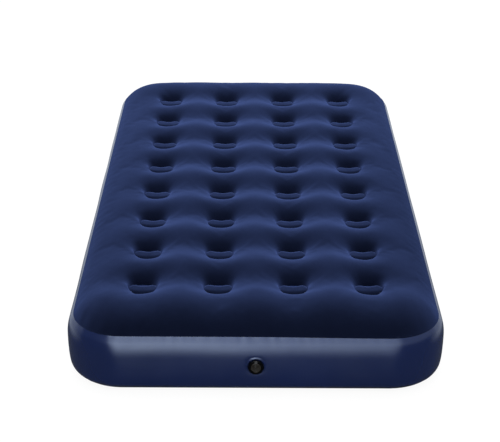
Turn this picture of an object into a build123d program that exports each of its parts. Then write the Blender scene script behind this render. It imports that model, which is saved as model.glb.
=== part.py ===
"""Twin-size flocked coil-beam air mattress with a screw-in inflation valve.

Millimetres. +Z is up, the origin is at the centre of the floor contact face,
X runs across the bed and Y along it. The valve is in the foot end, at -Y.
"""

import os
from math import cos, radians, sin, sqrt

from build123d import *

os.makedirs("parts", exist_ok=True)

# ---------------------------------------------------------------- bed envelope
WIDTH = 990.0  # X, over the side band
LENGTH = 1880.0  # Y, over the side band
HEIGHT = 220.0  # Z, inflated
CORNER_R = 150.0  # plan radius of the corners at the widest line
SHEET_T = 1.5  # thickness of the three envelope sheets
BOTTOM_INSET = 46.0  # from the widest line to where the side curve meets the floor
SHOULDER_INSET = 110.0  # from the widest line to where it meets the flat top

HALF_W, HALF_L = WIDTH / 2, LENGTH / 2
STRAIGHT_X = HALF_W - CORNER_R  # half lengths of the straight sides
STRAIGHT_Y = HALF_L - CORNER_R

# ---------------------------------------------------------------- coil lattice
COLS, ROWS = 4, 8
PITCH_X, PITCH_Y = 202.0, 200.0
COLUMNS_X = [(col - (COLS - 1) / 2) * PITCH_X for col in range(COLS)]
ROWS_Y = [(row - (ROWS - 1) / 2) * PITCH_Y for row in range(ROWS)]
LATTICE = [(x, y) for y in ROWS_Y for x in COLUMNS_X]

# Dimples: outer-face heights at the lip (face) and dimple floor, radius of the
# steep wall, radii of the rounded lip and toe, and up = 1 on top, -1 underneath
TOP_DIMPLE = dict(face=HEIGHT, floor=172.0, wall_r=41.0, lip_r=26.0, toe_r=5.0, up=1)
FOOT_DIMPLE = dict(face=0.0, floor=18.0, wall_r=41.0, lip_r=12.0, toe_r=4.0, up=-1)

COIL_R = 30.0  # outer radius of a coil's tube
COIL_T = 0.8
COIL_TAB_R = 36.0  # outer radius of the weld tabs at both ends
COIL_TAB_T = 0.8
COIL_HOLE_R = 5.0  # air holes through the tube
COIL_CUT_REACH = 60.0  # air hole cutter, each way from the row's centre line

# ---------------------------------------------------------------- side curves
# Points are (inset from the widest line, height), from the floor upward.
TOE_CURVE = [
    (
        BOTTOM_INSET - BOTTOM_INSET * sin(radians(angle)),
        BOTTOM_INSET - BOTTOM_INSET * cos(radians(angle)),
    )
    for angle in (0, 15, 30, 45)
]
BAND_CURVE = [
    TOE_CURVE[-1],
    (5.6, 24.0),
    (1.9, 44.0),
    (0.45, 70.0),
    (0.0, 100.0),
    (1.2, 125.0),
    (6.6, 146.0),
    (18.0, 163.0),
]
SHOULDER_CURVE = [
    BAND_CURVE[-1],
    (33.0, 177.0),
    (51.0, 191.0),
    (71.0, 204.5),
    (90.0, 214.5),
    (SHOULDER_INSET, HEIGHT),
]

# One entry per side: middle of the side, inward direction, direction along the
# side towards its corner, half length of the straight
EDGES = [
    ((0, -HALF_L, 0), (0, 1, 0), (1, 0, 0), STRAIGHT_X),
    ((HALF_W, 0, 0), (-1, 0, 0), (0, 1, 0), STRAIGHT_Y),
    ((0, HALF_L, 0), (0, -1, 0), (-1, 0, 0), STRAIGHT_X),
    ((-HALF_W, 0, 0), (1, 0, 0), (0, -1, 0), STRAIGHT_Y),
]


def save(part, name):
    """Label a finished piece and write its STEP file."""
    part.label = name
    export_step(part, f"parts/{name}.step")


def chord(points, index):
    """Unit vector between the neighbours of a knot."""
    before = points[max(index - 1, 0)]
    after = points[min(index + 1, len(points) - 1)]
    run, rise = after[0] - before[0], after[1] - before[1]
    length = sqrt(run * run + rise * rise)
    return run / length, rise / length


def offset_points(points, distance):
    """Points moved to the bed's inside, square to the curve."""
    moved = []
    for index, (inset, z) in enumerate(points):
        run, rise = chord(points, index)
        moved.append((inset + rise * distance, z - run * distance))
    return moved


def tangents(points, flat_at):
    """Unit tangent at each knot: upright at an inner widest knot, level at flat_at."""
    found = [chord(points, index) for index in range(len(points))]
    widest = min(inset for inset, z in points)
    for index in range(1, len(points) - 1):
        if points[index][0] == widest:
            found[index] = (0.0, 1.0)
    if flat_at == "start":
        found[0] = (-1.0, 0.0)
    elif flat_at == "end":
        found[-1] = (1.0, 0.0)
    return found


def section(outer, inner, flat_at=None):
    """One sheet's section between its outer and inner curves, in the active sketch."""
    with BuildLine() as outline:
        outer_edge = Spline(*outer, tangents=tangents(outer, flat_at))
        inner_edge = Spline(*inner, tangents=tangents(inner, flat_at))
        Line(outer_edge @ 0, inner_edge @ 0)
        Line(outer_edge @ 1, inner_edge @ 1)
    make_face(outline.edges())


def edge_ring(outer, inner, flat_at=None):
    """The section carried round the bed: four extruded sides and four turned corners."""
    for middle, inward, along, reach in EDGES:
        with BuildSketch(Plane(origin=middle, x_dir=inward, z_dir=along)) as side:
            section(outer, inner, flat_at)
        extrude(side.sketch, amount=reach, both=True)
    for middle, inward, along, reach in EDGES:
        start = Vector(middle) + Vector(along) * reach
        centre = start + Vector(inward) * CORNER_R
        with BuildSketch(Plane(origin=start, x_dir=inward, z_dir=along)) as corner:
            section(outer, inner, flat_at)
        revolve(corner.sketch, axis=Axis(centre, (0, 0, 1)), revolution_arc=90)


def dimple_section(face, floor, wall_r, lip_r, toe_r, up):
    """Half section of one dimple's sheet, as (radius, height), in the active sketch."""
    inner_face = face - up * SHEET_T
    inner_floor = floor - up * SHEET_T
    inner_wall_r = wall_r + SHEET_T
    lip_x, lip_z = wall_r + lip_r, face - up * lip_r  # centre of the lip's arcs
    toe_x, toe_z = wall_r - toe_r, floor + up * toe_r  # centre of the toe's arcs
    # 45 degree legs to the middle of each arc
    lip_leg = lip_r * sqrt(0.5)
    toe_leg = toe_r * sqrt(0.5)
    inner_lip_leg = (lip_r - SHEET_T) * sqrt(0.5)
    inner_toe_leg = (toe_r + SHEET_T) * sqrt(0.5)
    with BuildLine() as outline:
        ThreePointArc(
            (lip_x, face),
            (lip_x - lip_leg, lip_z + up * lip_leg),
            (wall_r, lip_z),
        )
        Line((wall_r, lip_z), (wall_r, toe_z))
        ThreePointArc(
            (wall_r, toe_z),
            (toe_x + toe_leg, toe_z - up * toe_leg),
            (toe_x, floor),
        )
        Line((toe_x, floor), (0, floor))
        Line((0, floor), (0, inner_floor))
        Line((0, inner_floor), (toe_x, inner_floor))
        ThreePointArc(
            (toe_x, inner_floor),
            (toe_x + inner_toe_leg, toe_z - up * inner_toe_leg),
            (inner_wall_r, toe_z),
        )
        Line((inner_wall_r, toe_z), (inner_wall_r, lip_z))
        ThreePointArc(
            (inner_wall_r, lip_z),
            (lip_x - inner_lip_leg, lip_z + up * inner_lip_leg),
            (lip_x, inner_face),
        )
        Line((lip_x, inner_face), (lip_x, face))
    make_face(outline.edges())


def dimpled_sheet(outer, inner, flat_at, field_z, inset, dimple):
    """Edge ring, flat field with a hole at each coil, and a dimple in each hole."""
    with BuildPart() as sheet:
        edge_ring(outer, inner, flat_at)
        with BuildSketch(Plane.XY.offset(field_z)):
            RectangleRounded(WIDTH - 2 * inset, LENGTH - 2 * inset, CORNER_R - inset)
            with Locations(*LATTICE):
                Circle(dimple["wall_r"] + dimple["lip_r"], mode=Mode.SUBTRACT)
        extrude(amount=SHEET_T)
        for x, y in LATTICE:
            with BuildSketch(Plane(origin=(x, y, 0), x_dir=(1, 0, 0), z_dir=(0, -1, 0))):
                dimple_section(**dimple)
            revolve(axis=Axis((x, y, 0), (0, 0, 1)))
    return sheet.part


# ---------------------------------------------------------------- valve frame
# Distances named "out" are measured outward (-Y) from the band's outer face.
VALVE_Z = 86.0
FACE_Y = -HALF_L  # outer face of the side band at the valve
CUT_OUT = 5.0  # where cutters start, clear of the band


def y_out(distance):
    """Y of a point this far outward from the band face."""
    return FACE_Y - distance


def valve_plane(out):
    """Plane across the valve axis: local x is +X, local y is down, normal into the bed."""
    return Plane(origin=(0, y_out(out), VALVE_Z), x_dir=(1, 0, 0), z_dir=(0, 1, 0))


def turned(points):
    """A closed half section of (radius, out) points, turned round the valve axis."""
    with BuildSketch(
        Plane(origin=(0, FACE_Y, VALVE_Z), x_dir=(1, 0, 0), z_dir=(0, 0, 1))
    ) as profile:
        with BuildLine():
            Polyline(*[(radius, -out) for radius, out in points], close=True)
        make_face()
    revolve(profile.sketch, axis=Axis((0, FACE_Y, VALVE_Z), (0, 1, 0)))


# ================================================================ side band
# glossy vinyl wall, floor weld to flock weld, with the valve hole in the foot end
HOLE_R = 20.6

band_inner = offset_points(BAND_CURVE, SHEET_T)
with BuildPart() as side_band:
    edge_ring(BAND_CURVE, band_inner)
    with BuildSketch(valve_plane(CUT_OUT)):
        Circle(HOLE_R)
    extrude(amount=12, mode=Mode.SUBTRACT)
save(side_band.part, "side_band")

# ================================================================ flocked top
shoulder_inner = offset_points(SHOULDER_CURVE, SHEET_T)
shoulder_inner[0] = band_inner[-1]
shoulder_inner[-1] = (SHOULDER_INSET, HEIGHT - SHEET_T)
top_sheet = dimpled_sheet(
    SHOULDER_CURVE,
    shoulder_inner,
    flat_at="end",
    field_z=HEIGHT - SHEET_T,
    inset=SHOULDER_INSET,
    dimple=TOP_DIMPLE,
)
save(top_sheet, "top_sheet")

# ================================================================ bottom sheet
# toe of the side curve and the floor face, with shallow dimples under the coils
toe_inner = offset_points(TOE_CURVE, SHEET_T)
toe_inner[0] = (BOTTOM_INSET, SHEET_T)
toe_inner[-1] = band_inner[0]
bottom_sheet = dimpled_sheet(
    TOE_CURVE,
    toe_inner,
    flat_at="start",
    field_z=0,
    inset=BOTTOM_INSET,
    dimple=FOOT_DIMPLE,
)
save(bottom_sheet, "bottom_sheet")

# ================================================================ coil beams
# each row: four vinyl tubes with a weld tab at each end and two air holes
COIL_BOTTOM = FOOT_DIMPLE["floor"] + SHEET_T
COIL_TOP = TOP_DIMPLE["floor"] - SHEET_T
# base height, outer radius, height
COIL_RINGS = [
    (COIL_BOTTOM, COIL_TAB_R, COIL_TAB_T),
    (COIL_TOP - COIL_TAB_T, COIL_TAB_R, COIL_TAB_T),
    (COIL_BOTTOM, COIL_R, COIL_TOP - COIL_BOTTOM),
]
for row, row_y in enumerate(ROWS_Y, start=1):
    with BuildPart() as coil_row:
        for base_z, outer_r, ring_height in COIL_RINGS:
            with BuildSketch(Plane.XY.offset(base_z)):
                with Locations(*[(x, row_y) for x in COLUMNS_X]):
                    Circle(outer_r)
                    Circle(COIL_R - COIL_T, mode=Mode.SUBTRACT)
            extrude(amount=ring_height)
        # local y of this plane runs down
        with BuildSketch(
            Plane(origin=(0, row_y - COIL_CUT_REACH, 0), x_dir=(1, 0, 0), z_dir=(0, 1, 0))
        ):
            with Locations(*[(x, -(COIL_BOTTOM + COIL_TOP) / 2) for x in COLUMNS_X]):
                Circle(COIL_HOLE_R)
        extrude(amount=2 * COIL_CUT_REACH, mode=Mode.SUBTRACT)
    save(coil_row.part, f"coil_row_{row}")

# ================================================================ valve flange
# soft flange on the band's inner face, with the socket that holds the screw body
SOCKET_OUTER_R = 20.4
SOCKET_BORE_R = 17.9
SOCKET_BACK = -12.0  # out, inner end
SOCKET_FRONT = 1.2  # out, outer end
FLANGE_R = 38.0
FLANGE_T = 1.4
FLANGE_GAP = 0.05  # between the band and the flange

flange_outer = offset_points(BAND_CURVE, SHEET_T + FLANGE_GAP)
flange_inner = offset_points(BAND_CURVE, SHEET_T + FLANGE_GAP + FLANGE_T)
with BuildPart() as valve_flange:
    # a strip following the band, then trimmed round
    with BuildSketch(Plane(origin=(0, FACE_Y, 0), x_dir=(0, 1, 0), z_dir=(1, 0, 0))):
        section(flange_outer, flange_inner)
    extrude(amount=FLANGE_R + 5, both=True)
    with BuildSketch(valve_plane(CUT_OUT)):
        Circle(FLANGE_R)
    extrude(amount=20, mode=Mode.INTERSECT)
    with BuildSketch(valve_plane(SOCKET_FRONT)):
        Circle(SOCKET_OUTER_R)
    extrude(amount=SOCKET_FRONT - SOCKET_BACK)
    with BuildSketch(valve_plane(CUT_OUT)):
        Circle(SOCKET_BORE_R)
    extrude(amount=30, mode=Mode.SUBTRACT)
save(valve_flange.part, "valve_flange")

# ================================================================ screw body sizes
GAP = 0.02  # between touching valve pieces
GASKET_T = 1.2
BODY_R = 17.85  # screw shank, running clearance in the socket
BORE_R = 9.5  # inflation port, takes a 19 mm pump nozzle
BORE_L = 15.0
HEAD_R = 20.0
HEAD_T = 6.0
GRIPS = 28
RECESS_DEPTH = 1.6  # cap recess in the head's face
SEAT_R = 12.2  # counterbore in the shank that takes the spider
SEAT_DEPTH = 3.2
CAP_R = 13.2

GASKET_FRONT = SOCKET_FRONT + GASKET_T
HEAD_BACK = GASKET_FRONT + GAP
HEAD_FRONT = HEAD_BACK + HEAD_T
RECESS_FLOOR = HEAD_FRONT - RECESS_DEPTH
PORT_BACK = RECESS_FLOOR - BORE_L  # inner end of the port's wall
SHANK_BACK = PORT_BACK - SEAT_DEPTH

# leash hinge, above the cap
PIN_R = 0.8
PIN_L = 11.9
PIN_HOLE_L = 12.0
SLOT_W = 7.6
LEASH_W = 6.8
LEASH_EYE_R = 1.6
LEASH_BORE_R = 0.86
HINGE_UP = 17.2  # hinge axis above the valve axis
HINGE_Z = VALVE_Z + HINGE_UP
HINGE_OUT = HEAD_FRONT - 1.7


def hinge_plane(x):
    """Plane across the hinge axis, normal along +X."""
    return Plane(origin=(x, y_out(HINGE_OUT), HINGE_Z), x_dir=(0, 1, 0), z_dir=(1, 0, 0))


# ================================================================ valve gasket
# flat washer under the screw body's head
with BuildPart() as valve_gasket:
    turned(
        [
            (BODY_R + 0.15, SOCKET_FRONT + GAP),
            (HEAD_R - 0.4, SOCKET_FRONT + GAP),
            (HEAD_R - 0.4, GASKET_FRONT),
            (BODY_R + 0.15, GASKET_FRONT),
        ]
    )
save(valve_gasket.part, "valve_gasket")

# ================================================================ valve body
# ribbed head, shank, inflation port and the counterbore for the spider
with BuildPart() as valve_body:
    turned(
        [
            # counterbore and shank
            (BORE_R, PORT_BACK),
            (SEAT_R, PORT_BACK),
            (SEAT_R, SHANK_BACK),
            (BODY_R - 1.0, SHANK_BACK),
            (BODY_R, SHANK_BACK + 1.0),
            (BODY_R, HEAD_BACK),
            # head rim
            (HEAD_R - 0.3, HEAD_BACK),
            (HEAD_R, HEAD_BACK + 0.3),
            (HEAD_R, HEAD_FRONT - 1.4),
            (HEAD_R - 0.45, HEAD_FRONT - 0.45),
            (HEAD_R - 1.4, HEAD_FRONT),
            # cap recess and port mouth
            (CAP_R + 1.5, HEAD_FRONT),
            (CAP_R + 1.0, HEAD_FRONT - 0.4),
            (CAP_R + 0.7, RECESS_FLOOR),
            (BORE_R + 0.3, RECESS_FLOOR),
            (BORE_R, RECESS_FLOOR - 0.3),
        ]
    )
    # finger ribs: grooves round the head
    with BuildSketch(valve_plane(HEAD_FRONT)):
        with PolarLocations(HEAD_R + 0.35, GRIPS):
            Circle(1.0)
    extrude(amount=HEAD_T - 0.9, mode=Mode.SUBTRACT)
    # slot for the cap's leash, above the cap
    with BuildSketch(valve_plane(HEAD_FRONT)):
        with Locations((0, -(HINGE_UP + 0.6))):
            Rectangle(SLOT_W, 8.6)
    extrude(amount=HEAD_FRONT - HINGE_OUT + LEASH_EYE_R + 0.3, mode=Mode.SUBTRACT)
    # finger scallop below the cap
    with BuildSketch(valve_plane(HEAD_FRONT)):
        with Locations((0, CAP_R + 1.6)):
            SlotOverall(11.0, 5.0)
    extrude(amount=1.5, mode=Mode.SUBTRACT)
    # hole for the hinge pin through both cheeks of the slot
    with BuildSketch(hinge_plane(-PIN_HOLE_L / 2)):
        Circle(PIN_R + 0.01)
    extrude(amount=PIN_HOLE_L, mode=Mode.SUBTRACT)
save(valve_body.part, "valve_body")

# ================================================================ leash pin
# hinge pin across the slot, held in both cheeks
with BuildPart() as leash_pin:
    with BuildSketch(hinge_plane(-PIN_L / 2)):
        Circle(PIN_R)
    extrude(amount=PIN_L)
save(leash_pin.part, "leash_pin")

# ================================================================ flap spider
# pressed into the shank: seat ring, hub and spokes that guide the flap's stem
SPIDER_T = 2.0
SPIDER_R = SEAT_R - 0.05
SPIDER_RING_BORE_R = 9.4
HUB_R = 3.4
SPOKE_L, SPOKE_W = 19.6, 1.6  # each bar spans the ring
STEM_R = 1.6
STEM_HOLE_R = STEM_R + 0.05
SPIDER_FRONT = PORT_BACK - GAP
SPIDER_BACK = SPIDER_FRONT - SPIDER_T

with BuildPart() as flap_spider:
    with BuildSketch(valve_plane(SPIDER_FRONT)):
        Circle(SPIDER_R)
        Circle(SPIDER_RING_BORE_R, mode=Mode.SUBTRACT)
        Circle(HUB_R)
        for turn in (0, 60, 120):
            with Locations(Location((0, 0), turn)):
                Rectangle(SPOKE_L, SPOKE_W)
        Circle(STEM_HOLE_R, mode=Mode.SUBTRACT)
    extrude(amount=SPIDER_T)
save(flap_spider.part, "flap_spider")

# ================================================================ check flap
# one-way flap: soft disc on the inner side of the spider, on a stem with a bulb
FLAP_R = 11.6
FLAP_T = 1.0
FLAP_TRAVEL = 2.5
FLAP_FRONT = SPIDER_BACK - 0.03
BULB_R = 2.5
BULB_BACK = SPIDER_FRONT + FLAP_TRAVEL + 0.05

with BuildPart() as check_flap:
    turned(
        [
            (0, FLAP_FRONT - FLAP_T),
            (FLAP_R - 0.4, FLAP_FRONT - FLAP_T),
            (FLAP_R, FLAP_FRONT - 0.5),
            (FLAP_R, FLAP_FRONT),
            (STEM_R, FLAP_FRONT),
            (STEM_R, BULB_BACK),
            (BULB_R, BULB_BACK),
            (BULB_R, BULB_BACK + 0.5),
            (1.3, BULB_BACK + 2.6),
            (0, BULB_BACK + 2.6),
        ]
    )
save(check_flap.part, "check_flap")

# ================================================================ valve cap
# flip cap: dished face with a raised ring and a small centre boss, on a hollow plug
PLUG_R = 9.4
PLUG_RIM_R = PLUG_R - 0.35  # the plug tapers inward from here
PLUG_TIP_R = 8.6
PLUG_L = 5.0
CAP_BACK = HEAD_FRONT - 0.75  # underside of the rim, with the seal below it

# (radius, outward from the rim's underside)
CAP_PROFILE = [
    # hollow plug
    (0, -1.0),
    (6.6, -1.0),
    (6.6, -PLUG_L),
    (PLUG_TIP_R - 0.5, -PLUG_L),
    (PLUG_TIP_R, 0.6 - PLUG_L),
    (PLUG_RIM_R, -0.8),
    (PLUG_RIM_R, 0),
    # rim
    (CAP_R, 0),
    (CAP_R, 1.0),
    (CAP_R - 0.3, 1.6),
    (CAP_R - 1.0, 1.9),
    (10.2, 1.9),
    (9.8, 1.5),
    (9.6, 1.0),
    # raised ring
    (7.6, 0.9),
    (7.3, 1.5),
    (6.9, 1.7),
    (6.1, 1.7),
    (5.7, 1.5),
    (5.4, 0.7),
    # centre boss
    (2.6, 0.7),
    (2.2, 1.5),
    (1.6, 1.8),
    (0, 1.9),
]
with BuildPart() as valve_cap:
    turned([(radius, CAP_BACK + rise) for radius, rise in CAP_PROFILE])
    # lifting lip over the finger scallop
    with BuildSketch(valve_plane(CAP_BACK + 1.3)):
        with Locations((0, CAP_R - 0.4)):
            SlotOverall(8.0, 4.4)
    extrude(amount=0.9)
save(valve_cap.part, "valve_cap")

# ================================================================ cap seal
# flat ring under the cap's rim
SEAL_BACK = RECESS_FLOOR + 0.05
with BuildPart() as cap_seal:
    turned(
        [
            (PLUG_R + 0.1, SEAL_BACK),
            (CAP_R - 0.3, SEAL_BACK),
            (CAP_R - 0.3, CAP_BACK - GAP),
            (PLUG_R + 0.1, CAP_BACK - GAP),
        ]
    )
save(cap_seal.part, "cap_seal")

# ================================================================ cap leash
# soft tab from the cap's rim to an eye round the hinge pin
# measured from the hinge axis: tab end downward, tab faces outward
TAB_END = HINGE_UP - CAP_R - GAP + 0.45
TAB_FRONT = CAP_BACK + 1.2 - HINGE_OUT
TAB_BACK = CAP_BACK + 0.1 - HINGE_OUT

with BuildPart() as cap_leash:
    # local x runs down the valve, local y runs outward from the band
    with BuildSketch(
        Plane(
            origin=(LEASH_W / 2, y_out(HINGE_OUT), HINGE_Z),
            x_dir=(0, 0, -1),
            z_dir=(-1, 0, 0),
        )
    ):
        Circle(LEASH_EYE_R)
        with BuildLine():
            Polyline(
                (0, LEASH_EYE_R),
                (1.8, LEASH_EYE_R),
                (3.0, TAB_FRONT),
                (TAB_END, TAB_FRONT),
                (TAB_END, TAB_BACK),
                (2.4, TAB_BACK),
                (1.2, 0.2),
                (0, 0),
                close=True,
            )
        make_face()
        Circle(LEASH_BORE_R, mode=Mode.SUBTRACT)
    extrude(amount=LEASH_W)
    # the tab's end follows the cap's round rim
    with BuildSketch(valve_plane(HEAD_FRONT + 3)):
        Circle(CAP_R + GAP)
    extrude(amount=8, mode=Mode.SUBTRACT)
save(cap_leash.part, "cap_leash")
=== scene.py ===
"""An inflatable air bed: dimpled flocked top, vinyl side band, bottom sheet and valve.

+Z is up and the origin is on the floor under the middle of the bed. The head end is at +Y,
the foot end, with the valve, at -Y. Shapes are worked out in centimetres and stored in metres.
"""
import math

import bpy
import numpy as np
from mathutils import Matrix


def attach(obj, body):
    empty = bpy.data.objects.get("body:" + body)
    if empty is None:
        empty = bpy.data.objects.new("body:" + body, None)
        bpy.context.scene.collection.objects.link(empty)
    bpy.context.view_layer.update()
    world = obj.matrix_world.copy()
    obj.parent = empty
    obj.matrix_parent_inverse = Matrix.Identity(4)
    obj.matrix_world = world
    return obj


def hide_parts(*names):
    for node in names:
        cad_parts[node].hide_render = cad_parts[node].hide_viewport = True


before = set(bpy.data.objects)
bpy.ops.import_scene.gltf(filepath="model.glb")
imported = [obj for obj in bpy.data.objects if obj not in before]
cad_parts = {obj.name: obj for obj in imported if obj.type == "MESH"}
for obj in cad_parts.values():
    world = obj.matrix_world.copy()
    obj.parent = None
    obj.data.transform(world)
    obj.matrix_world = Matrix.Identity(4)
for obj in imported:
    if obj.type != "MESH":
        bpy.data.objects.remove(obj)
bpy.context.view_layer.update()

CM = 0.01  # metres in a centimetre

# Plan of the bed
HALF_WIDTH, HALF_LENGTH, CORNER_R = 49.5, 94.0, 15.0
CORNER_X, CORNER_Y = HALF_WIDTH - CORNER_R, HALF_LENGTH - CORNER_R  # corner arc centres

# Dimples, one to a cell; the cells together make the dimple block
PITCH_X, PITCH_Y = 20.2, 20.0
COLS, ROWS = 4, 8
BLOCK_X, BLOCK_Y = COLS * PITCH_X / 2, ROWS * PITCH_Y / 2  # half sizes of the block
CELL_STEPS = 16  # mesh steps along each side of a cell
DISC_R = 3.0  # grid disc in the middle of every cell
WELD_R = 4.05  # weld ring of a dimple in the top
FOOT_WELD_R = 4.1  # weld ring of a dimple in the bottom sheet
FOOT_LIP_R = 5.3  # where the bottom sheet starts to curve up into a dimple
FOOT_RISE = 1.8  # height of the bottom sheet's weld ring
PITS = [
    ((col - (COLS - 1) / 2) * PITCH_X, (row - (ROWS - 1) / 2) * PITCH_Y)
    for row in range(ROWS)
    for col in range(COLS)
]

# Edge section: (inset from the outline, height)
TOE_R = 4.6
TOE_STEP, TOE_END = 3, 45  # degrees
SEAM_INSET, SEAM_Z = 1.8, 16.3  # where the flocked top meets the band
TOE = [
    (TOE_R - TOE_R * math.sin(angle), TOE_R - TOE_R * math.cos(angle))
    for angle in map(math.radians, range(0, TOE_END + 1, TOE_STEP))
]
BAND_KNOTS = [
    TOE[-1], (0.56, 2.4), (0.19, 4.4), (0.045, 7.0), (0.0, 10.0),
    (0.12, 12.5), (0.66, 14.6), (SEAM_INSET, SEAM_Z),
]
SHOULDER_KNOTS = [
    (SEAM_INSET, SEAM_Z), (3.2, 17.9), (4.4, 19.0), (5.8, 20.0),
    (7.4, 20.85), (9.2, 21.45), (11.2, 21.85), (13.5, 22.0),
]
KNOT_STEPS = 24  # curve points from one knot to the next

# Valve in the foot end
VALVE_Z = 8.6
OPENING_CUT_R = 2.35  # band faces centred within this radius are removed
OPENING_R = 2.42  # the cut is then drawn to this circle


# ---------------------------------------------------------------- curves
def smooth_step(start, end, value):
    t = np.clip((value - start) / (end - start), 0, 1)
    return t * t * (3 - 2 * t)


def hermite(knots, flat_end=False):
    """Smooth curve through the knots, upright at an outermost knot inside the run."""
    knots = np.array(knots, float)
    last = len(knots) - 1
    tangents = np.zeros_like(knots)
    for k in range(last + 1):
        chord = knots[min(k + 1, last)] - knots[max(k - 1, 0)]
        tangents[k] = chord / np.linalg.norm(chord)
    outermost = int(np.argmin(knots[:, 0]))
    if 0 < outermost < last:
        tangents[outermost] = (0, 1)
    if flat_end:
        tangents[-1] = (1, 0)
    t = np.linspace(0, 1, KNOT_STEPS, endpoint=False)[:, None]
    curve = []
    for k in range(last):
        span = np.linalg.norm(knots[k + 1] - knots[k])
        curve.append(
            (2 * t**3 - 3 * t**2 + 1) * knots[k]
            + (t**3 - 2 * t**2 + t) * span * tangents[k]
            + (-2 * t**3 + 3 * t**2) * knots[k + 1]
            + (t**3 - t**2) * span * tangents[k + 1]
        )
    return np.vstack(curve + [knots[-1:]])


def arc_length(points):
    """Distance along an open line at each of its points."""
    return np.concatenate([[0], np.cumsum(np.linalg.norm(np.diff(points, axis=0), axis=1))])


def loop_length(points):
    """Distance round a closed line at each of its points, and the whole length."""
    lengths = arc_length(np.vstack([points, points[:1]]))
    return lengths[:-1], lengths[-1]


band_curve = hermite(BAND_KNOTS)
shoulder_curve = hermite(SHOULDER_KNOTS, flat_end=True)
BAND_LENGTH = arc_length(band_curve)[-1]


def along_band(distance):
    """(inset, height) at distances up the band from its lower edge."""
    lengths = arc_length(band_curve)
    return np.stack([np.interp(distance, lengths, band_curve[:, i]) for i in (0, 1)], 1)


def front_y(z):
    """Y of the band at this height, on the straight run of the foot end."""
    return -(HALF_LENGTH - np.interp(z, band_curve[:, 1], band_curve[:, 0]))


def inset_of(x, y):
    """Distance in from the outline of the bed."""
    past_x, past_y = np.abs(x) - CORNER_X, np.abs(y) - CORNER_Y
    outside = np.hypot(np.maximum(past_x, 0), np.maximum(past_y, 0))
    return CORNER_R - (outside + np.minimum(np.maximum(past_x, past_y), 0))


def wave(distance, total, shortest, longest, count, seed):
    """Smooth noise round a closed line, from sines between two wavelengths, about +-1."""
    draws = np.random.default_rng(seed)
    height = np.zeros_like(distance)
    for _ in range(count):
        turns = max(1, round(total / draws.uniform(shortest, longest)))
        size = draws.uniform(0.5, 1)
        phase = draws.uniform(0, 6.28)
        height += size * np.sin(2 * math.pi * turns * distance / total + phase)
    return height / math.sqrt(count * 0.3)


# ---------------------------------------------------------------- rings round the bed
def perimeter(inset, cell_steps=CELL_STEPS):
    """Points of the rounded outline at this inset and their outward normals.

    They match the dimple block's boundary: from the +X, -Y corner towards +Y and round.
    """
    radius = CORNER_R - inset
    sides = (  # outward direction, corner centre's reach, half straight run, steps
        ((1, 0), CORNER_X, CORNER_Y, ROWS * cell_steps),
        ((0, 1), CORNER_Y, CORNER_X, COLS * cell_steps),
        ((-1, 0), CORNER_X, CORNER_Y, ROWS * cell_steps),
        ((0, -1), CORNER_Y, CORNER_X, COLS * cell_steps),
    )
    points, normals = [], []
    for out, reach, straight, count in sides:
        tangent = (-out[1], out[0])
        half = straight + radius * math.pi / 4
        run = -half + 2 * half * np.arange(count) / count
        angle = np.sign(run) * np.maximum(np.abs(run) - straight, 0) / radius
        across = np.clip(run, -straight, straight) + radius * np.sin(angle)
        depth = reach + radius - radius * (1 - np.cos(angle))
        points.append(np.outer(depth, out) + np.outer(across, tangent))
        normals.append(np.outer(np.cos(angle), out) + np.outer(np.sin(angle), tangent))
    return np.vstack(points), np.vstack(normals)


def edge_ring(inset, height, outward=0.0, cell_steps=CELL_STEPS):
    """Ring round the bed at an inset and height, pushed out along its normals."""
    points, normals = perimeter(inset, cell_steps)
    outward = np.broadcast_to(outward, len(points))
    height = np.broadcast_to(height, len(points))
    return np.column_stack([points + normals * outward[:, None], height])


# ---------------------------------------------------------------- mesh helpers
# Corner orders of a quad: 0 and 1 are on the previous and next ring,
# 2 and 3 are one step on, on the next and previous ring
OUTWARD, RISING, UNDERSIDE = (0, 1, 2, 3), (0, 3, 2, 1), (3, 2, 1, 0)


def ring_faces(start, first, count, order):
    """Quads from a loop of indices through count more rings numbered from first."""
    faces = []
    previous = np.asarray(start)
    for ring in range(count):
        current = first + ring * len(previous) + np.arange(len(previous))
        loops = (previous, current, np.roll(current, -1), np.roll(previous, -1))
        faces.append(np.column_stack([loops[corner] for corner in order]))
        previous = current
    return np.vstack(faces)


def make_object(name, verts, faces):
    mesh = bpy.data.meshes.new(name)
    mesh.from_pydata((np.asarray(verts) * CM).tolist(), [], np.asarray(faces).tolist())
    mesh.validate()
    mesh.update()
    mesh.polygons.foreach_set("use_smooth", [True] * len(mesh.polygons))
    piece = bpy.data.objects.new(name, mesh)
    bpy.context.scene.collection.objects.link(piece)
    return piece


def subdivide(piece):
    modifier = piece.modifiers.new("smooth", "SUBSURF")
    modifier.levels = modifier.render_levels = 1


def disc_grid():
    """Square grid mapped on the unit disc: points, square source, faces, ordered rim."""
    steps = np.linspace(-1, 1, CELL_STEPS + 1)
    square_x, square_y = (a.ravel() for a in np.meshgrid(steps, steps, indexing="xy"))
    wide = np.abs(square_x) > np.abs(square_y)
    radius = np.where(wide, square_x, square_y)
    ratio = np.where(wide, square_y, square_x) / np.where(radius == 0, 1, radius)
    angle = np.where(wide, math.pi / 4 * ratio, math.pi / 2 - math.pi / 4 * ratio)
    points = np.stack([radius * np.cos(angle), radius * np.sin(angle)], 1)
    index = np.arange(len(points)).reshape(CELL_STEPS + 1, -1)
    corners = [index[:-1, :-1], index[:-1, 1:], index[1:, 1:], index[1:, :-1]]
    faces = np.stack(corners, -1).reshape(-1, 4)
    rim = np.concatenate([index[:-1, -1], index[-1, :0:-1], index[:0:-1, 0], index[0, :-1]])
    return points, np.stack([square_x, square_y], 1), faces, rim


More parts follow.
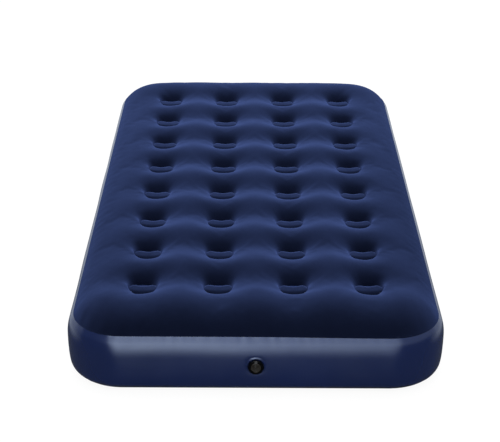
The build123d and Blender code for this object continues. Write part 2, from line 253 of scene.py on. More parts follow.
def grid_key(points):
    """Whole numbers that are the same for points in the same place."""
    offset = 0.3713  # keeps mesh points off the rounding boundary
    return np.floor(np.asarray(points) * 1000 + offset).astype(np.int64)


def block_mesh(ring_radii, outward_shares):
    """Plan of the dimple block: a disc and rings in every cell, welded along cell edges.

    The last rings go from the largest circle (share 0) to the cell's edge (share 1).
    Returns places, places from the cell's own dimple, dimple numbers and faces.
    """
    disc, square, disc_faces, rim = disc_grid()
    rim_dir = disc[rim] / np.linalg.norm(disc[rim], axis=1)[:, None]
    cell_edge = square[rim] * np.array([PITCH_X / 2, PITCH_Y / 2])
    rings = [rim_dir * radius for radius in ring_radii]
    rings += [rim_dir * ring_radii[-1] * (1 - t) + cell_edge * t for t in outward_shares]
    cell = np.vstack([disc * DISC_R] + rings)
    strips = ring_faces(rim, len(disc), len(rings), OUTWARD)
    cell_faces = np.vstack([disc_faces, strips])

    places = np.vstack([cell + np.array(pit) for pit in PITS])
    local = np.tile(cell, (len(PITS), 1))
    pit_number = np.repeat(np.arange(len(PITS)), len(cell))
    faces = np.vstack([cell_faces + i * len(cell) for i in range(len(PITS))])

    # weld the cell edges, keeping the first vertex at each place
    _, first, inverse = np.unique(
        grid_key(places), axis=0, return_index=True, return_inverse=True
    )
    order = np.argsort(first)
    renumber = np.empty(len(first), np.int64)
    renumber[order] = np.arange(len(first))
    keep = first[order]
    return places[keep], local[keep], pit_number[keep], renumber[inverse.ravel()][faces]


def block_boundary(places):
    """Indices of the block's boundary, matched to perimeter()."""
    corners = [(BLOCK_X, -BLOCK_Y), (BLOCK_X, BLOCK_Y), (-BLOCK_X, BLOCK_Y), (-BLOCK_X, -BLOCK_Y)]
    points = []
    for side in range(4):
        count = CELL_STEPS * (COLS if side % 2 else ROWS)
        start, end = np.array(corners[side]), np.array(corners[(side + 1) % 4])
        points += [start + (end - start) * i / count for i in range(count)]
    table = {tuple(key): i for i, key in enumerate(grid_key(places))}
    return [table[tuple(key)] for key in grid_key(points)]


# ---------------------------------------------------------------- cloth pass
def settle(piece, hold, pressure, slack, frames, cap):
    """Let the sheet settle under air pressure as cloth, held where it is welded.

    No vertex moves more than cap centimetres. The modifier is removed afterwards.
    """
    mesh = piece.data
    start = np.empty(len(mesh.vertices) * 3)
    mesh.vertices.foreach_get("co", start)
    group = piece.vertex_groups.new(name="hold")
    hold_steps = 20
    level = np.round(np.clip(hold, 0, 1) * hold_steps).astype(int)
    for k in np.unique(level):
        members = [int(i) for i in np.nonzero(level == k)[0]]
        group.add(members, float(k) / hold_steps, "REPLACE")

    modifier = piece.modifiers.new("air", "CLOTH")
    cloth = modifier.settings
    cloth.quality = 4
    cloth.mass = 0.4
    cloth.air_damping = 3.0
    cloth.tension_stiffness = cloth.compression_stiffness = 20
    cloth.shear_stiffness = 8
    cloth.bending_stiffness = 0.6
    cloth.tension_damping = cloth.compression_damping = cloth.shear_damping = 12
    cloth.use_pressure = True
    cloth.uniform_pressure_force = pressure
    cloth.shrink_min = cloth.shrink_max = -slack
    cloth.vertex_group_mass = "hold"
    cloth.pin_stiffness = 1.0
    cloth.effector_weights.gravity = 0
    modifier.collision_settings.use_collision = False
    modifier.collision_settings.use_self_collision = False
    modifier.point_cache.frame_start = 1
    modifier.point_cache.frame_end = frames
    scene = bpy.context.scene
    for step in range(1, frames + 1):
        scene.frame_set(step)

    settled = piece.evaluated_get(bpy.context.evaluated_depsgraph_get())
    end = np.empty(len(start))
    settled.data.vertices.foreach_get("co", end)
    move = (end - start).reshape(-1, 3)
    distance = np.linalg.norm(move, axis=1)
    limit = cap * CM
    share = limit * np.tanh(distance / limit) / np.maximum(distance, 1e-12)
    piece.modifiers.remove(modifier)
    piece.vertex_groups.remove(group)
    scene.frame_set(1)
    mesh.vertices.foreach_set("co", start + (move * share[:, None]).ravel())
    mesh.update()


# ---------------------------------------------------------------- flocked top: heights
# Depth of the valleys: through a column of dimples, through a row, and where they cross
VALLEY_COL, VALLEY_ROW, VALLEY_CROSS = 1.35, 1.4, 1.1
GATHER_COUNTS = (7, 9, 11, 13, 16, 19)  # folds round a weld ring, one entry per sine
GATHER_HEIGHT = 0.022

# Chance differences from dimple to dimple
rng = np.random.default_rng(20260)
rng.uniform(-0.02, 0.02, len(PITS))  # unused draw, keeps the ones after it the same
PIT_LIFT = rng.uniform(-0.1, 0.1, len(PITS))
PIT_TILT_X = rng.uniform(-0.02, 0.02, len(PITS))
PIT_TILT_Y = rng.uniform(-0.02, 0.02, len(PITS))
GATHER_PHASE = rng.uniform(0, 6.28, (len(PITS), len(GATHER_COUNTS)))
GATHER_SIZE = rng.uniform(0.5, 1.0, (len(PITS), len(GATHER_COUNTS)))

# How high each row's dimples sit, foot to head: the head end is blown a little firmer
ROW_Y = [-70, -50, -30, -10, 10, 30, 50, 70]
ROW_RISE = [0, 0.24, 0.42, 0.42, 0.6, 0.68, 0.72, 0.88]
PIT_RISE = np.interp([pit[1] for pit in PITS], ROW_Y, ROW_RISE)


def quilt_fade(x, y):
    """How much of the quilting shows: 1 in the middle of the bed, 0 near the seam."""
    inset = inset_of(x, y)
    headward = smooth_step(-70.0, 40.0, y)
    near = smooth_step(0, 1, (inset - (2.5 + 2.5 * headward)) / 9.0)
    far = smooth_step(12.0, 21.0, inset)
    near_share = 0.35 + 0.25 * smooth_step(-55.0, -75.0, y)
    return near_share * near + (1 - near_share) * far


def quilt_z(x, y, local_x, local_y):
    """Top without its weld rings: shoulder, lean at the sides, and quilting valleys."""
    inset = inset_of(x, y)
    shoulder = np.interp(inset, shoulder_curve[:, 0], shoulder_curve[:, 1])
    # the outer columns drop towards the sides, less near the two ends
    side = 1.25 * smooth_step(28.0, 38.0, np.abs(x))
    side = side * (1 - 0.7 * smooth_step(60.0, 82.0, np.abs(y)))
    # valleys get shallower towards the head
    depth = 1 - 0.13 * smooth_step(10.0, 75.0, y)
    col = np.where(np.abs(x) <= BLOCK_X, np.cos(math.pi * local_x / PITCH_X) ** 2, 0)
    row = np.where(np.abs(y) <= BLOCK_Y, np.cos(math.pi * local_y / PITCH_Y) ** 2, 0)
    valleys = VALLEY_COL * col + VALLEY_ROW * row + VALLEY_CROSS * col * row
    return (
        shoulder
        - side * smooth_step(2.0, 8.0, inset)
        - depth * quilt_fade(x, y) * valleys
    )


def dimpled_z(x, y, local_x, local_y, pit):
    """Quilted top with the sheet rolling down to each weld ring, and its gathers."""
    angle = np.arctan2(local_y, local_x)
    # 0 on a dimple's foot side, 1 on its head side
    headward = smooth_step(-2.0, 1.6, local_y)
    # distance measured on a rounded square, slightly wide on the head side
    power = 2.35
    wide = (1 + 0.03 * headward) * np.abs(local_x)
    square_r = (wide**power + np.abs(local_y) ** power) ** (1 / power)
    endward = np.sin(angle) ** 2  # 1 straight towards head or foot, 0 towards the sides
    foot_row = smooth_step(-58.0, -66.0, y)
    foot_drop = -0.06 + (1.33 + 0.35 * foot_row) * endward**1.5
    head_drop = -0.06 + 1.63 * smooth_step(-2.6, 2.4, local_y)
    drop = foot_drop * (1 - headward) + head_drop * headward
    soft_lip = 0.8 * foot_row * (1 - headward) * endward
    reach = 0.50 + 0.32 * endward + 0.06 * headward + soft_lip
    z = quilt_z(x, y, local_x, local_y)
    z = z - drop * np.exp(-(np.maximum(square_r, 3.7) - WELD_R) / reach)
    # fine gathers running out from the weld ring
    gathers = np.zeros_like(z)
    for k, count in enumerate(GATHER_COUNTS):
        gathers += GATHER_SIZE[pit, k] * np.sin(count * angle + GATHER_PHASE[pit, k])
    past_weld = np.hypot(local_x, local_y) - WELD_R
    near = np.exp(-np.maximum(past_weld, 0) / 1.6) * smooth_step(0.0, 0.5, past_weld)
    return z + GATHER_HEIGHT * gathers * near


def weld_z(local_x, local_y, pit):
    """Height of the weld ring: a little higher at its left and right."""
    radius_sq = np.maximum(local_x**2 + local_y**2, 1e-9)
    head_corner = smooth_step(1.8, 3.2, np.abs(local_x)) * smooth_step(-0.5, 1.5, local_y)
    return (
        17.15
        + 0.4 * (local_x**2 - local_y**2) / radius_sq
        + 0.15 * head_corner
        + PIT_RISE[pit] * (0.3 + 0.7 * smooth_step(-1.0, 2.5, local_y))
        + PIT_LIFT[pit]
    )


def puff_z(local_x, local_y, pit):
    """Puffed sheet inside a weld ring, curving down at its head and foot sides."""
    past_head = np.maximum(local_y - 1.9 - 0.05 * local_x**2, 0)
    return (
        17.05
        + 0.20 * local_y
        + 0.32 * (local_x / WELD_R) ** 2
        - past_head**2 / 2.2
        - 0.28 * np.minimum(local_y - 0.8, 0) ** 2
        + PIT_RISE[pit]
        + PIT_LIFT[pit]
        + PIT_TILT_X[pit] * local_x
        + PIT_TILT_Y[pit] * local_y
    )


def cushion_z(local_x, local_y, pit):
    """The puffed sheet, brought to the weld ring's height at its edge."""
    share = np.hypot(local_x, local_y) / WELD_R
    scale = np.maximum(share, 1e-9)
    gap = puff_z(local_x / scale, local_y / scale, pit) - weld_z(local_x, local_y, pit)
    return puff_z(local_x, local_y, pit) - gap * share**18


# ---------------------------------------------------------------- flocked top: mesh
TOP_RINGS = [3.3, 3.55, 3.75, 3.9, 4.0, WELD_R, 4.09, 4.15, 4.25, 4.4, 4.65]
TOP_OUTWARD = [0.07, 0.15, 0.24, 0.35, 0.47, 0.6, 0.73, 0.87, 1.0]
MARGIN_ROWS = 16
PUCKER = 0.03  # size of the short folds by the seam
DRAPE = 0.025  # size of the long folds on the shoulder
# Lapped hem: (distance below the seam, stand-off from the band)
TOP_HEM = [(0.02, 0.05), (0.06, 0.08), (0.10, 0.08), (0.13, 0.065), (0.14, 0.03), (0.12, -0.03)]
HEM_DEPTH = 0.14
HEM_EXTRA = 0.30  # further reach towards the +X side of the foot end


def top_block():
    """Dimple block of the top: vertices, faces, and each vertex's dimple radius."""
    plan, local, pit, faces = block_mesh(TOP_RINGS, TOP_OUTWARD)
    radius = np.hypot(local[:, 0], local[:, 1])
    z = dimpled_z(plan[:, 0], plan[:, 1], local[:, 0], local[:, 1], pit)
    inner = radius < WELD_R + 1e-6
    z[inner] = cushion_z(local[inner, 0], local[inner, 1], pit[inner])
    # just outside the ring the sheet drops steeply to the weld
    at_weld = local / np.maximum(radius, 1e-9)[:, None] * WELD_R
    x, y = (at_weld + plan - local).T
    foot = dimpled_z(x, y, at_weld[:, 0], at_weld[:, 1], pit)
    drop = foot - weld_z(local[:, 0], local[:, 1], pit)
    z[~inner] -= (drop * np.exp(-(radius - WELD_R) / 0.10))[~inner]
    # the pull of the coil squares the dimple a little in plan
    angle = np.arctan2(local[:, 1], local[:, 0])
    power = np.where(local[:, 1] > 0, 2.5, 2.0)
    across = (1.035 * np.abs(np.cos(angle))) ** power
    reach = 1 / (across + np.abs(np.sin(angle)) ** power) ** (1 / power)
    shift = local * ((reach - 1) * smooth_step(9.0, 4.2, radius))[:, None]
    return np.column_stack([plan + shift, z]), faces, radius, block_boundary(plan)


def top_margin(boundary):
    """Rings from the block's boundary out to the seam."""
    seam, normals = perimeter(SEAM_INSET)
    distance, total = loop_length(seam)
    pucker = wave(distance, total, shortest=2.2, longest=5.0, count=14, seed=11)
    drape = wave(distance, total, shortest=9, longest=26, count=10, seed=12)
    rows = []
    for share in 1 - (1 - np.linspace(0, 1, MARGIN_ROWS + 1)[1:]) ** 1.15:
        points = boundary * (1 - share) + seam * share
        x, y = points.T
        # dimples sit at half pitches from the middle
        local_x = ((x / PITCH_X) % 1.0 - 0.5) * PITCH_X
        local_y = ((y / PITCH_Y) % 1.0 - 0.5) * PITCH_Y
        inset = inset_of(x, y)
        past_seam = inset - SEAM_INSET
        near = np.exp(-(past_seam / 2.2)) * smooth_step(0, 0.5, past_seam)
        z = quilt_z(x, y, local_x, local_y) + PUCKER * pucker * near
        shoulder = smooth_step(SEAM_INSET, 4, inset) * (1 - smooth_step(6, 11, inset))
        out = PUCKER * pucker * near + DRAPE * drape * shoulder
        rows.append(np.column_stack([points + normals * out[:, None], z]))
    return rows


def top_hem():
    """Rings of the lapped edge, just proud of the band and turned in at the end."""
    x, y = perimeter(SEAM_INSET)[0].T
    extra = HEM_EXTRA * smooth_step(-4.0, 36.0, x) * smooth_step(-68.0, -88.0, y)
    rings = []
    for down, stand_off in TOP_HEM:
        section = along_band(BAND_LENGTH - down * (1 + extra / HEM_DEPTH))
        outward = stand_off + SEAM_INSET - section[:, 0]
        rings.append(edge_ring(SEAM_INSET, section[:, 1], outward))
    return rings


def build_top():
    """The flocked sheet, and how firmly the cloth pass holds each of its vertices."""
    block, faces, radius, boundary = top_block()
    margin, hem = top_margin(block[boundary][:, :2]), top_hem()
    rings = margin + hem
    strips = ring_faces(boundary, len(block), len(rings), OUTWARD)
    piece = make_object(
        "flocked_top", np.vstack([block] + rings), np.vstack([faces, strips])
    )
    # 1 inside the weld rings, fading outside them; read by the flock material to paint the
    # dimples lighter
    dimple = np.zeros(len(block) + len(rings) * len(boundary))
    dimple[: len(block)] = np.exp(-np.maximum(radius - WELD_R, 0) / 0.9)
    attribute = piece.data.attributes.new("dimple", "FLOAT", "POINT")
    attribute.data.foreach_set("value", dimple)

    loose, puffed, firm = 0.12, 0.5, 1.0
    margin_hold = np.linspace(0.06, firm, len(margin)).repeat(len(boundary)) ** 2
    hold = np.concatenate([
        np.where(np.abs(radius - WELD_R) < 0.3, firm, np.where(radius < WELD_R, puffed, loose)),
        np.maximum(margin_hold, loose),
        np.full(len(hem) * len(boundary), firm),
    ])
    return piece, hold


# ---------------------------------------------------------------- side band
FOLD_LENGTH = 560  # nominal length round the bed that the folds are spaced on


def build_band():
    cell_steps = 2 * CELL_STEPS
    foot_zone, head_zone, top_gap = 1.2, 2.6, 0.04  # finer rows low and high; gap to seam
    heights = np.concatenate([
        np.linspace(0, foot_zone, 6, endpoint=False),
        np.linspace(foot_zone, BAND_LENGTH - head_zone, 22, endpoint=False),
        np.linspace(BAND_LENGTH - head_zone, BAND_LENGTH - top_gap, 13),
    ])
    rings = []
    for up, (inset, z) in zip(heights, along_band(heights)):
        distance, total = loop_length(perimeter(inset, cell_steps)[0])
        place = distance / total * FOLD_LENGTH
        upper = wave(place, FOLD_LENGTH, shortest=1.8, longest=4.2, count=16, seed=21)
        lower = wave(place, FOLD_LENGTH, shortest=3.0, longest=8.0, count=14, seed=22)
        broad = wave(place, FOLD_LENGTH, shortest=25, longest=70, count=8, seed=23)
        outward = (
            0.020 * upper * math.exp(-(heights[-1] - up) / 1.1)
            + 0.035 * lower * math.exp(-up / 1.8)
            + 0.05 * broad * math.sin(math.pi * up / heights[-1])
        )
        rings.append(edge_ring(inset, z, outward, cell_steps))
    verts = np.vstack(rings)
    count = len(rings[0])
    faces = ring_faces(np.arange(count), count, len(rings) - 1, RISING)

    # round opening behind the valve's collar
    middle = verts[faces].mean(axis=1)
    from_valve = np.hypot(middle[:, 0], middle[:, 2] - VALVE_Z)
    gone = (middle[:, 1] < -90) & (from_valve < OPENING_CUT_R)
    rim = np.intersect1d(faces[gone], faces[~gone])
    offset = verts[rim][:, [0, 2]] - (0, VALVE_Z)
    offset *= OPENING_R / np.linalg.norm(offset, axis=1)[:, None]
    z = offset[:, 1] + VALVE_Z
    verts[rim] = np.column_stack([offset[:, 0], front_y(z), z])
    used, faces = np.unique(faces[~gone], return_inverse=True)
    return make_object("side_band_vinyl", verts[used], faces.reshape(-1, 4))


# ---------------------------------------------------------------- bottom sheet
BASE_RINGS = [3.4, 3.75, 3.95, 4.05, FOOT_WELD_R, 4.15, 4.25, 4.4, 4.6, 4.9, FOOT_LIP_R]
BASE_OUTWARD = [0.12, 0.3, 0.55, 0.8, 1.0]
BASE_SAG = 0.9  # how far a dimple's middle hangs below its weld ring
BASE_HEM = [(0.45, 0.06), (0.5, -0.02)]  # (distance up the band, stand-off)


def build_bottom():
    plan, local, _, faces = block_mesh(BASE_RINGS, BASE_OUTWARD)
    radius = np.hypot(local[:, 0], local[:, 1])
    z = np.zeros(len(plan))
    lip = (radius > FOOT_WELD_R) & (radius < FOOT_LIP_R)
    share = (FOOT_LIP_R - radius[lip]) / (FOOT_LIP_R - FOOT_WELD_R)
    z[lip] = FOOT_RISE * (1 - np.sqrt(np.clip(1 - share**2, 0, 1)))
    inner = radius <= FOOT_WELD_R
    z[inner] = FOOT_RISE - BASE_SAG * (1 - (radius[inner] / FOOT_WELD_R) ** 4)

    boundary = block_boundary(plan)
    toe_line = perimeter(TOE_R)[0]
    rings = []
    for t in (0.25, 0.5, 0.75, 0.92, 1.0):
        points = plan[boundary] * (1 - t) + toe_line * t
        rings.append(np.column_stack([points, np.zeros(len(points))]))
    rings += [edge_ring(inset, height) for inset, height in TOE[1:]]
    # welded hem a little proud of the band, turned in at its end
    rings.append(edge_ring(TOE[-1][0], TOE[-1][1] + 0.05, 0.05))
    for up, stand_off in BASE_HEM:
        inset, height = along_band([up])[0]
        rings.append(edge_ring(inset, height, stand_off))
    strips = ring_faces(boundary, len(plan), len(rings), UNDERSIDE)
    verts = np.vstack([np.column_stack([plan, z])] + rings)
    return make_object("base_sheet_vinyl", verts, np.vstack([faces[:, ::-1], strips]))


# ---------------------------------------------------------------- valve collar
COLLAR_STEPS = 72
COLLAR_SECTION = [  # (radius from the valve's axis, height out of the band)
    (2.09, 0.02), (2.10, 0.10), (2.14, 0.16), (2.20, 0.185), (2.27, 0.18),
    (2.35, 0.14), (2.45, 0.07), (2.6, 0.015), (2.8, -0.03),
]


def build_collar():
    """Low ring of vinyl welded round the valve, rising from the band."""
    angle = 2 * math.pi * np.arange(COLLAR_STEPS) / COLLAR_STEPS
    rings = []
    for radius, height in COLLAR_SECTION:
        z = VALVE_Z + radius * np.sin(angle)
        rings.append(np.column_stack([radius * np.cos(angle), front_y(z) - height, z]))
    faces = ring_faces(np.arange(COLLAR_STEPS), COLLAR_STEPS, len(rings) - 1, RISING)
    return make_object("valve_collar", np.vstack(rings), faces)


top, top_hold = build_top()
settle(top, top_hold, pressure=2.5, slack=0.002, frames=12, cap=0.12)
subdivide(top)
band = build_band()
subdivide(band)
base = build_bottom()
collar = build_collar()
subdivide(collar)


# ---------------------------------------------------------------- shader helpers
class Nodes:
    """The node tree of a material or world, emptied down to one output node.

    An input may be given a number, a colour, a socket, or a node (its first output).
    """

    def __init__(self, owner, output="OutputMaterial"):
        owner.use_nodes = True
        self.tree = owner.node_tree
        self.tree.nodes.clear()
        self.output = self.add(output)

    def add(self, kind, inputs=None, **settings):
        node = self.tree.nodes.new("ShaderNode" + kind)
        for name, value in settings.items():
            setattr(node, name, value)
        for key, value in (inputs or {}).items():
            self.feed(node.inputs[key], value)
        return node

    def feed(self, socket, value):
        if isinstance(value, bpy.types.Node):
            value = value.outputs[0]
        if isinstance(value, bpy.types.NodeSocket):
            self.tree.links.new(value, socket)
        elif isinstance(value, tuple):
            socket.default_value = (*value, 1)
        else:
            socket.default_value = value

    def finish(self, shader):
        self.feed(self.output.inputs["Surface"], shader)

    def calc(self, operation, first, *others):
        """Math node, or a chain of them from left to right for more than two values."""
        if len(others) > 1:
            first = self.calc(operation, first, *others[:-1])
            others = others[-1:]
        return self.add("Math", dict(enumerate((first, *others))), operation=operation)

    def remap(self, value, span, to):
        return self.add("MapRange", dict(enumerate((value, *span, *to))))

    def noise(self, place, scale, detail=3.0, roughness=0.5, distortion=0.0):
        return self.add("TexNoise", {
            "Vector": place, "Scale": scale, "Detail": detail,
            "Roughness": roughness, "Distortion": distortion,
        })

    def mix(self, factor, first, second, blend="MIX"):
        inputs = {0: factor, 6: first, 7: second}
        return self.add("Mix", inputs, data_type="RGBA", blend_type=blend).outputs[2]

    def bump(self, height, strength, distance, normal=None):
        inputs = {"Strength": strength, "Distance": distance, "Height": height}
        if normal is not None:
            inputs["Normal"] = normal
        return self.add("Bump", inputs)


def new_material(name):
    material = bpy.data.materials.new(name)
    return material, Nodes(material)


def scaled(color, factor):
    return tuple(channel * factor for channel in color)


# ---------------------------------------------------------------- materials
def flock_material():
    """Short navy velvet flock with painted sheen: the diffuse colour is dark seen face on, pale
    where it is seen edge on.
    """
    material, nodes = new_material("flock_navy")
    position = nodes.add("NewGeometry")
    fibre = nodes.noise(position, scale=1500, detail=2.0, roughness=0.6)
    clump = nodes.noise(position, scale=240, roughness=0.6)
    nap = nodes.noise(position, scale=26, detail=4.0, roughness=0.55, distortion=0.4)
    patch = nodes.noise(position, scale=5.5)
    normal = nodes.bump(fibre, strength=0.25, distance=0.0004)
    normal = nodes.bump(clump, strength=0.20, distance=0.0006, normal=normal)

    # painted sheen: a colour mixed by viewing angle stands in for the velvet's sheen
    weight = nodes.add("LayerWeight", {"Blend": 0.5, "Normal": normal})
    edge_falloff = 1.55
    edge_on = nodes.calc("POWER", weight.outputs["Facing"], edge_falloff)
    color = nodes.mix(
        edge_on, first=(0.0050, 0.0076, 0.0210), second=(0.0420, 0.0670, 0.187)
    )

    blotches = nodes.calc(
        "ADD",
        nodes.remap(nap, span=(0.25, 0.75), to=(0.93, 1.07)),
        nodes.remap(patch, span=(0.25, 0.75), to=(-0.05, 0.05)),
    )
    specks = nodes.remap(clump, span=(0.2, 0.8), to=(0.94, 1.06))
    # painted light: the flock is coloured up to 1.38 times lighter in the dimples
    dimple = nodes.add("Attribute", attribute_name="dimple").outputs["Fac"]
    dimple_painted_light = nodes.remap(dimple, span=(0.0, 1.0), to=(1.0, 1.38))
    # painted shade: the flock colour is darker at the two sides of the bed, more at +X, fading
    # out at the foot end and weaker towards the head
    x, y, _ = nodes.add("SeparateXYZ", {0: position}).outputs
    sides = nodes.calc(
        "ADD",
        nodes.remap(x, span=(0.27, 0.47), to=(0.0, 0.31)),
        nodes.remap(x, span=(-0.27, -0.40), to=(0.0, 0.12)),
    )
    lengthwise = nodes.calc(
        "MULTIPLY",
        nodes.remap(y, span=(-0.82, -0.64), to=(0.0, 1.0)),
        nodes.remap(y, span=(0.0, 0.9), to=(1.0, 0.3)),
    )
    side_painted_shade = nodes.calc("SUBTRACT", 1.0, nodes.calc("MULTIPLY", sides, lengthwise))
    shade = nodes.calc("MULTIPLY", blotches, specks, dimple_painted_light, side_painted_shade)
    shade_color = nodes.add("CombineXYZ", {0: shade, 1: shade, 2: shade})
    color = nodes.mix(1.0, color, shade_color, blend="MULTIPLY")
    inputs = {"Color": color, "Roughness": 0.6, "Normal": normal}
    nodes.finish(nodes.add("BsdfDiffuse", inputs))
    return material


def vinyl_material(name, color, roughness, specular=0.62):
    """Glossy sheet with a slight orange peel and soft unevenness."""
    material, nodes = new_material(name)
    position = nodes.add("NewGeometry")
    peel = nodes.noise(position, scale=160, detail=2.0)
    soft = nodes.noise(position, scale=14)
    broad = nodes.noise(position, scale=4.0, detail=2.0)
    normal = nodes.bump(soft, strength=0.12, distance=0.004)
    normal = nodes.bump(peel, strength=0.05, distance=0.0006, normal=normal)
    tone = nodes.remap(broad, span=(0.3, 0.7), to=(0, 1))
    gloss = nodes.remap(soft, span=(0.3, 0.7), to=(roughness - 0.03, roughness + 0.04))
    nodes.finish(nodes.add("BsdfPrincipled", {
        "Base Color": nodes.mix(tone, scaled(color, 0.92), scaled(color, 1.08)),
        "Roughness": gloss,
        "IOR": 1.55,
        "Specular IOR Level": specular,
        "Specular Tint": (0.80, 0.88, 1.0),
        "Normal": normal,
    }))
    return material


def plastic_material(name, color, roughness, grain=500, strength=0.08, specular=0.3):
    """Moulded plastic or rubber with a fine grain."""
    material, nodes = new_material(name)
    position = nodes.add("NewGeometry")
    fine = nodes.noise(position, scale=grain, roughness=0.55)
    broad = nodes.noise(position, scale=60)
    tone = nodes.remap(broad, span=(0.3, 0.7), to=(0, 1))
    gloss = nodes.remap(broad, span=(0.3, 0.7), to=(roughness - 0.05, roughness + 0.07))
    nodes.finish(nodes.add("BsdfPrincipled", {
        "Base Color": nodes.mix(tone, scaled(color, 0.85), scaled(color, 1.2)),
        "Roughness": gloss,
        "Specular IOR Level": specular,
        "Normal": nodes.bump(fine, strength=strength, distance=0.0002),
    }))
    return material


NAVY = (0.0042, 0.0118, 0.0635)
BASE_NAVY = (0.0012, 0.0020, 0.0046)
flock = flock_material()
vinyl = vinyl_material("band_vinyl_navy", NAVY, roughness=0.22)
base_vinyl = vinyl_material("base_vinyl_navy", BASE_NAVY, roughness=0.42, specular=0.25)
coil_vinyl = vinyl_material("coil_vinyl_navy", scaled(NAVY, 1.1), roughness=0.42)
black = plastic_material(
    "valve_black", color=(0.0005, 0.0006, 0.0009), roughness=0.24, specular=0.10
)
cap_grey = plastic_material(
    "cap_grey", color=(0.0170, 0.0145, 0.0110), roughness=0.20, specular=0.35
)
rubber = plastic_material(
    "seal_rubber", color=(0.006, 0.006, 0.0065), roughness=0.62, grain=900, strength=0.15
)

for piece, material in ((top, flock), (band, vinyl), (base, base_vinyl), (collar, vinyl)):
    piece.data.materials.append(material)

VALVE_MATERIALS = {
    "valve_flange": vinyl,
    "valve_gasket": rubber,
    "valve_body": black,
    "flap_spider": black,
    "leash_pin": black,
    "check_flap": rubber,
    "valve_cap": cap_grey,
    "cap_seal": rubber,
    "cap_leash": cap_grey,
}


def soften_edges(piece):
    """Smooth shading with a narrow bevel on the sharp edges."""
    piece.data.polygons.foreach_set("use_smooth", [True] * len(piece.data.polygons))
    bevel = piece.modifiers.new("edges", "BEVEL")
    bevel.width = 0.00025
    bevel.segments = 2
    bevel.limit_method = "ANGLE"
    bevel.angle_limit = math.radians(35)
    normals = piece.modifiers.new("normals", "WEIGHTED_NORMAL")
    normals.keep_sharp = True


for name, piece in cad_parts.items():
    sheet = coil_vinyl if name.startswith("coil_row") else vinyl
    piece.data.materials.clear()
    piece.data.materials.append(VALVE_MATERIALS.get(name, sheet))
    if name in VALVE_MATERIALS:
        soften_edges(piece)

# ---------------------------------------------------------------- ties to the CAD pieces
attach(top, "envelope")
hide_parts("top_sheet")
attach(band, "envelope")
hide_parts("side_band")
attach(base, "envelope")
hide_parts("bottom_sheet")
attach(collar, "envelope")


# ---------------------------------------------------------------- floor
def floor_material():
    """Pale floor: near white to the camera, grey as a reflector, clear from below."""
    material, nodes = new_material("floor_pale")
    to_camera = nodes.add("LightPath").outputs["Is Camera Ray"]
    lit = nodes.add("BsdfDiffuse", {"Color": (0.68, 0.68, 0.685)})
    faint = nodes.add("BsdfDiffuse", {"Color": (0.10, 0.10, 0.10)})
    glow = nodes.add("Emission", {"Color": (1, 1, 1), "Strength": 0.93})
    shown = nodes.add("AddShader", {0: faint, 1: glow})
    above = nodes.add("MixShader", {0: to_camera, 1: lit, 2: shown})
    backfacing = nodes.add("NewGeometry").outputs["Backfacing"]
    from_below = nodes.calc("MULTIPLY", backfacing, to_camera)
    clear = nodes.add("BsdfTransparent")
    nodes.finish(nodes.add("MixShader", {0: from_below, 1: above, 2: clear}))
    return material


def build_floor():
    half, drop = 30.0, 0.0005  # metres
    mesh = bpy.data.meshes.new("floor")
    corners = [(-half, -half, 0), (half, -half, 0), (half, half, 0), (-half, half, 0)]
    mesh.from_pydata(corners, [], [(0, 1, 2, 3)])
    floor = bpy.data.objects.new("floor", mesh)
    floor.location = (0, 0, -drop)
    floor.data.materials.append(floor_material())
    bpy.context.scene.collection.objects.link(floor)
    floor.visible_glossy = False


# ---------------------------------------------------------------- world and light
def studio_light(nodes, x, z):
    """Even light, brighter overhead and dimmer to the sides; plain 1 to the camera."""
    overhead = nodes.remap(z, span=(-0.1, 0.9), to=(0.74, 1.18))
    middle_level, side_loss = 1.08, 0.46
    loss = nodes.calc("MULTIPLY", nodes.calc("ABSOLUTE", x), side_loss)
    sky = nodes.calc("MULTIPLY", overhead, nodes.calc("SUBTRACT", middle_level, loss))
    to_camera = nodes.add("LightPath").outputs["Is Camera Ray"]
    rest = nodes.calc("MULTIPLY", to_camera, nodes.calc("SUBTRACT", 1.0, sky))
    strength = nodes.calc("ADD", rest, sky)
    return nodes.add("Background", {"Color": (1, 1, 1), "Strength": strength})


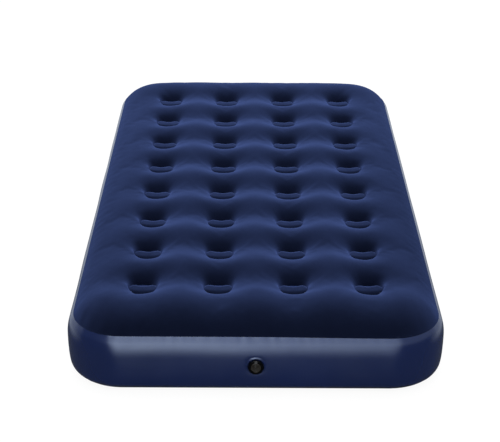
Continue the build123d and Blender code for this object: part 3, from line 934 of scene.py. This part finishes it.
def mirrored_room(nodes, x, y, z):
    """What glossy surfaces mirror: a pale panel at -Y, dimmer round the rest."""
    # the panel narrows to the -Y direction, shifted a little with height
    height_shift, never_zero = 0.10, 0.0001
    y_squared = nodes.calc("ADD", nodes.calc("MULTIPLY", y, y), never_zero)
    level = nodes.calc("SQRT", nodes.calc("ADD", nodes.calc("MULTIPLY", x, x), y_squared))
    facing = nodes.calc(
        "SUBTRACT", nodes.calc("DIVIDE", y, level), nodes.calc("MULTIPLY", z, height_shift)
    )
    low_falloff = 1.08
    low = nodes.remap(z, span=(-0.56, -0.05), to=(0.0, 1.0))
    panel = nodes.calc(
        "MULTIPLY",
        nodes.remap(facing, span=(-0.895, -0.985), to=(0.0, 1.0)),
        nodes.remap(x, span=(-0.09, 0.095), to=(1.29, 0.52)),
        nodes.calc("POWER", low, low_falloff),
        nodes.remap(z, span=(0.25, 0.90), to=(3.35, 2.15)),
    )
    behind_level, least_level = 0.9, 0.10
    behind = nodes.calc(
        "MULTIPLY",
        nodes.remap(y, span=(-0.1, 0.4), to=(0.0, 1.0)),
        nodes.remap(z, span=(-0.40, -0.22), to=(0.0, 1.0)),
        behind_level,
    )
    upper = nodes.calc(
        "MULTIPLY",
        nodes.remap(z, span=(-0.05, 0.3), to=(0.0, 1.0)),
        nodes.remap(x, span=(-0.75, -0.25), to=(0.15, 0.55)),
    )
    strength = nodes.calc("ADD", panel, nodes.calc("MAXIMUM", behind, upper, least_level))
    return nodes.add("Background", {"Color": (0.83, 0.91, 1.03), "Strength": strength})


def build_world():
    world = bpy.data.worlds.new("studio")
    bpy.context.scene.world = world
    nodes = Nodes(world, "OutputWorld")
    direction = nodes.add("TexCoord").outputs["Generated"]
    x, y, z = nodes.add("SeparateXYZ", {0: direction}).outputs
    soft = studio_light(nodes, x, z)
    mirror = mirrored_room(nodes, x, y, z)
    glossy = nodes.add("LightPath").outputs["Is Glossy Ray"]
    nodes.finish(nodes.add("MixShader", {0: glossy, 1: soft, 2: mirror}))


def build_overhead_light():
    light = bpy.data.lights.new("overhead", "AREA")
    light.shape = "RECTANGLE"
    light.size = light.size_y = 3.0
    light.energy = 60
    lamp = bpy.data.objects.new("overhead", light)
    lamp.location = (0, 0.6, 3.2)
    lamp.visible_glossy = False
    bpy.context.scene.collection.objects.link(lamp)


# ---------------------------------------------------------------- camera
def build_camera():
    """Camera beyond the foot end, looking down the bed."""
    place = (-0.02155, -3.82894, 1.8694)
    down, yaw, roll = 25.44, -0.092, 0.31  # degrees; down is measured from level
    camera = bpy.data.cameras.new("camera")
    camera.sensor_width = 36.0
    camera.lens = 95.4648
    camera.clip_end = 100
    holder = bpy.data.objects.new("camera", camera)
    holder.matrix_world = (
        Matrix.Translation(place)
        @ Matrix.Rotation(math.radians(yaw), 4, "Z")
        @ Matrix.Rotation(math.radians(90 - down), 4, "X")
        @ Matrix.Rotation(math.radians(roll), 4, "Z")
    )
    bpy.context.scene.collection.objects.link(holder)
    bpy.context.scene.camera = holder
    bpy.context.scene.view_settings.view_transform = "Standard"


build_floor()
build_world()
build_overhead_light()
build_camera()

bpy.context.view_layer.update()
